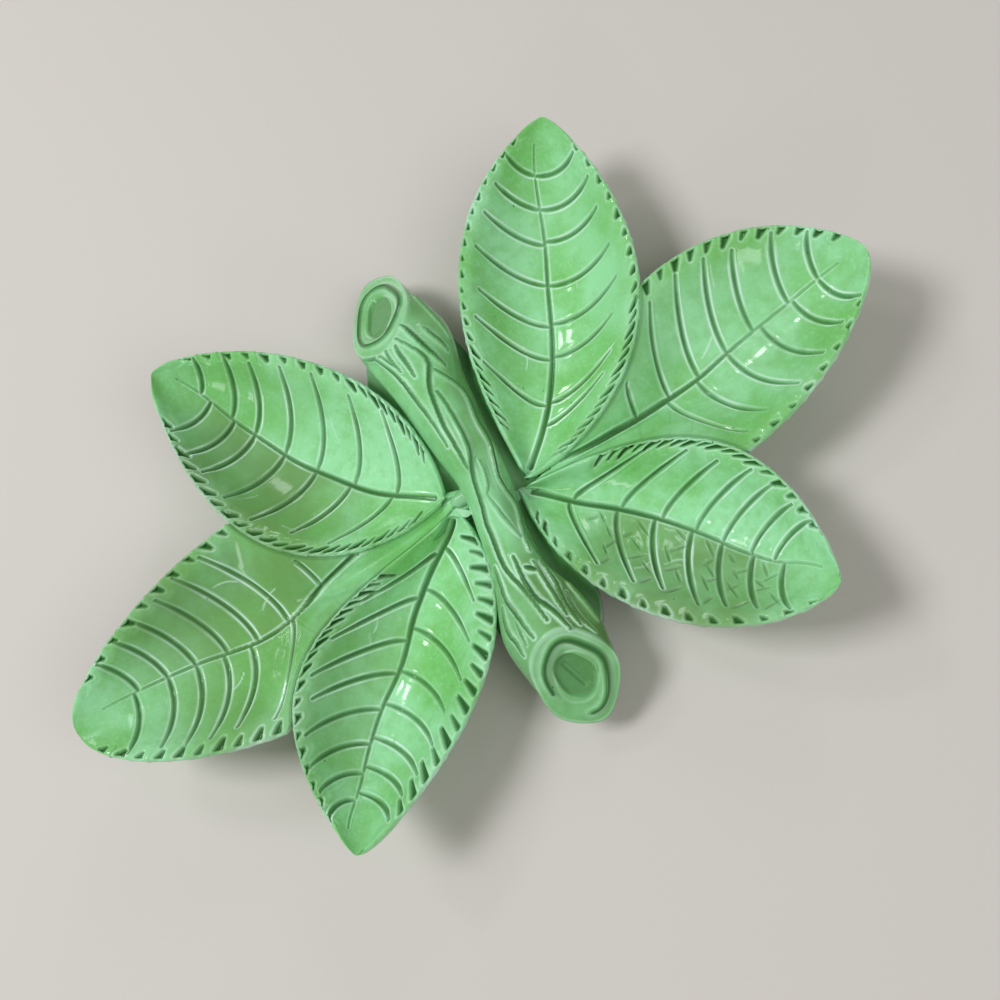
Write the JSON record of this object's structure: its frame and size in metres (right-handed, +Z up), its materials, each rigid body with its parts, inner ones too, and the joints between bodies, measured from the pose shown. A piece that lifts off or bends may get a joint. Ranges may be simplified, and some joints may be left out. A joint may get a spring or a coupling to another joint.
{
  "type": "leaf-shaped trinket dish",
  "caption": "Glazed ceramic dish of overlapping veined leaf bowls fanned out on both sides of a cut branch, standing on low oval foot rims, for holding small trinkets.",
  "frame": {"origin": "on the table under the middle of the dish's bounding box", "axes": "+X from leaf tip to leaf tip along the dish's length, +Y along the branch, +Z up from the table"},
  "size_m": [0.2709, 0.1742, 0.035],
  "materials": {
    "leaf_glaze": "glossy green lead-type glaze, pooled dark in the veins and notches and pale on the edges",
    "branch_glaze": "glossy green glaze, pooled dark in the bark grooves",
    "foot_clay": "dry unglazed fired clay on the standing face"
  },
  "bodies": {
    "root": {"branch": "branch_glaze", "leaf_stalk_left": "branch_glaze", "leaf_stalk_right": "branch_glaze", "leaf_left_upper": "leaf_glaze", "leaf_left_middle": "leaf_glaze", "leaf_left_lower": "leaf_glaze", "leaf_right_upper": "leaf_glaze", "leaf_right_middle": "leaf_glaze", "leaf_right_lower": "leaf_glaze", "foot_rim_left": "foot_clay", "foot_rim_right": "foot_clay"}
  },
  "joints": []
}
